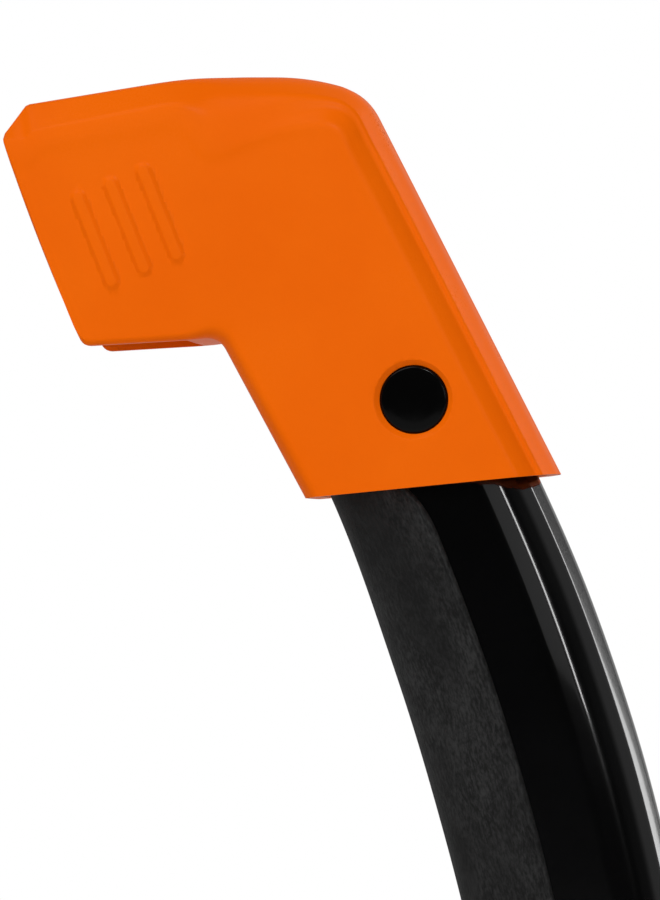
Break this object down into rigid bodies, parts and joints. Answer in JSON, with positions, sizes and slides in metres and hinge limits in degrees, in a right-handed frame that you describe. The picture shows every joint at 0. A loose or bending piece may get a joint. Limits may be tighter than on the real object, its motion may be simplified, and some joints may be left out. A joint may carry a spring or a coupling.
{
  "type": "ice axe",
  "caption": "Curved technical ice tool with a moulded pommel locked by a push button, a rubber grip inlay, a sliding finger rest with a cam lever, a bolted toothed pick and a hammer.",
  "frame": {"origin": "centre of the clip hole in the head, on the tool's middle plane", "axes": "+Z towards the pommel, along the straight stretch of the shaft; -X towards the pick; Y across the tool"},
  "size_m": [0.2191, 0.029, 0.5174],
  "materials": {
    "orange_plastic": "satin moulded",
    "gloss_plastic": "polished",
    "spring_steel": "rolled",
    "black_aluminium": "gloss black coat",
    "dark_plastic": "fine grain",
    "grip_rubber": "fibrous grain",
    "forged_head": "satin dark coat",
    "blade_steel": "ground",
    "hammer_steel": "blackened with a worn face",
    "fastener_steel": "zinc plated"
  },
  "bodies": {
    "tool": {"pommel": "orange_plastic", "button_spring": "spring_steel", "spring_rivet": "spring_steel", "shaft": "black_aluminium", "shaft_plug": "dark_plastic", "grip_inlay": "grip_rubber", "upper_grip": "grip_rubber", "head_body": "forged_head", "head_gasket": "dark_plastic", "head_rivets": "fastener_steel", "pick": "blade_steel", "hammer": "hammer_steel", "head_bolts": "fastener_steel", "head_nuts": "fastener_steel", "bolt_washers": "fastener_steel", "pick_weights": "hammer_steel", "weight_screws": "fastener_steel", "weight_nuts": "fastener_steel"},
    "button": {"lock_button": "gloss_plastic"},
    "finger_rest": {"rest_body": "dark_plastic", "rest_liner": "dark_plastic", "clamp_shoe": "spring_steel", "lever_pin": "fastener_steel", "pin_clip": "fastener_steel"},
    "lever": {"cam_lever": "black_aluminium"}
  },
  "joints": [
    {"name": "button_press", "type": "slide", "parent": "tool", "child": "button", "axis": [0, 1, 0], "range_m": [0, 0.0034], "stiffness_N_per_m": 900, "springref_m": -0.004, "deforming": ["button_spring"]},
    {"name": "rest_slide", "type": "slide", "parent": "tool", "child": "finger_rest", "axis": [0, 0, -1], "range_m": [0, 0.06]},
    {"name": "lever_swing", "type": "hinge", "parent": "finger_rest", "child": "lever", "pos_m": [0.05958, 0, 0.23855], "axis": [0, -1, 0], "range_deg": [0, 100]}
  ]
}
